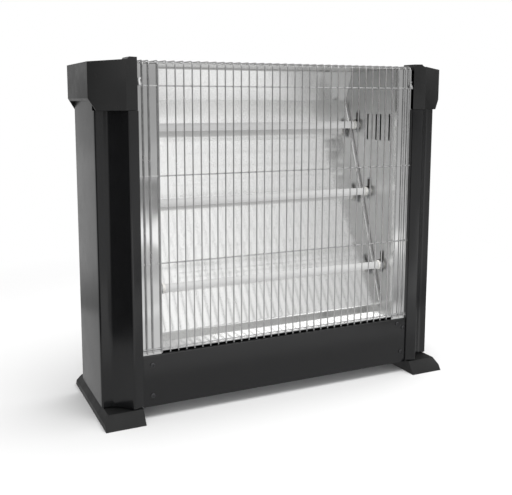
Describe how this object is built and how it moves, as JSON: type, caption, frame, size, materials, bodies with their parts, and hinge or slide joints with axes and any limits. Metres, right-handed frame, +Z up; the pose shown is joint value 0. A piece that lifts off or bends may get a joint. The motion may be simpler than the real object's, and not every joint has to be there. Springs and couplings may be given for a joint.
{
  "type": "radiant space heater",
  "caption": "Free-standing radiant room heater with quartz tubes before a slanted bright reflector, behind a wire guard between dark posts with grip caps and feet.",
  "frame": {"origin": "centre of the bounding box at floor level, which is the middle of the feet", "axes": "+X along the heater's width towards its right post with the switches, +Y from the guard to the rear cover, +Z up"},
  "size_m": [0.589, 0.202, 0.516],
  "materials": {
    "black_steel": "glossy black paint on sheet steel",
    "cap_plastic": "satin charcoal moulding",
    "foot_plastic": "satin black moulding",
    "bright_sheet": "polished bright sheet",
    "wire_chrome": "bright plated wire",
    "zinc_steel": "zinc plated",
    "milky_quartz": "milky satin quartz",
    "ceramic": "matt white ceramic",
    "coil_alloy": "dark oxidised resistance wire",
    "clip_steel": "dark spring steel",
    "switch_plastic": "glossy black moulding",
    "insulator": "off-white insulating moulding",
    "loom_rubber": "matt black sleeve"
  },
  "bodies": {
    "heater": {"post_right": "black_steel", "post_left": "black_steel", "cap_right": "cap_plastic", "cap_left": "cap_plastic", "foot_right": "foot_plastic", "foot_left": "foot_plastic", "base_floor_plate": "zinc_steel", "base_front_panel": "black_steel", "reflector": "bright_sheet", "reflector_side_panel_right": "bright_sheet", "reflector_side_panel_left": "bright_sheet", "wire_guard": "wire_chrome", "guard_clip_right": "wire_chrome", "guard_clip_left": "wire_chrome", "quartz_tube_top": "milky_quartz", "heating_coil_top": "coil_alloy", "ceramic_holder_top_right": "ceramic", "tube_clip_top_right": "clip_steel", "ceramic_holder_top_left": "ceramic", "tube_clip_top_left": "clip_steel", "quartz_tube_middle": "milky_quartz", "heating_coil_middle": "coil_alloy", "ceramic_holder_middle_right": "ceramic", "tube_clip_middle_right": "clip_steel", "ceramic_holder_middle_left": "ceramic", "tube_clip_middle_left": "clip_steel", "quartz_tube_bottom": "milky_quartz", "heating_coil_bottom": "coil_alloy", "ceramic_holder_bottom_right": "ceramic", "tube_clip_bottom_right": "clip_steel", "ceramic_holder_bottom_left": "ceramic", "tube_clip_bottom_left": "clip_steel", "rear_cover": "black_steel", "cord_gland": "switch_plastic", "switch_housing_1": "switch_plastic", "switch_housing_2": "switch_plastic", "switch_housing_3": "switch_plastic", "tip_switch_body": "insulator", "terminal_block": "insulator", "thermal_cutout": "insulator", "wiring_loom": "loom_rubber", "panel_screw_left_upper": "zinc_steel", "panel_screw_left_lower": "zinc_steel", "panel_screw_right_upper": "zinc_steel", "panel_screw_right_middle": "zinc_steel", "panel_screw_right_lower": "zinc_steel", "cover_screw_right_lower": "zinc_steel", "cover_screw_right_upper": "zinc_steel", "cap_screw_right": "zinc_steel", "foot_screw_right_front": "zinc_steel", "foot_screw_right_back": "zinc_steel", "cover_screw_left_lower": "zinc_steel", "cover_screw_left_upper": "zinc_steel", "cap_screw_left": "zinc_steel", "foot_screw_left_front": "zinc_steel", "foot_screw_left_back": "zinc_steel"},
    "rocker_1": {"switch_rocker_1": "switch_plastic"},
    "rocker_2": {"switch_rocker_2": "switch_plastic"},
    "rocker_3": {"switch_rocker_3": "switch_plastic"},
    "tip_plunger": {"tip_switch_plunger": "switch_plastic"}
  },
  "joints": [
    {"name": "rocker_1_hinge", "type": "hinge", "parent": "heater", "child": "rocker_1", "pos_m": [0.283, -0.015, 0.396], "axis": [0, -1, 0], "range_deg": [0, 20]},
    {"name": "rocker_2_hinge", "type": "hinge", "parent": "heater", "child": "rocker_2", "pos_m": [0.283, -0.015, 0.364], "axis": [0, -1, 0], "range_deg": [0, 20]},
    {"name": "rocker_3_hinge", "type": "hinge", "parent": "heater", "child": "rocker_3", "pos_m": [0.283, -0.015, 0.332], "axis": [0, -1, 0], "range_deg": [0, 20]},
    {"name": "tip_plunger_slide", "type": "slide", "parent": "heater", "child": "tip_plunger", "axis": [0, 0, 1], "range_m": [-0.006, 0], "stiffness_N_per_m": 40, "springref_m": -0.006}
  ]
}
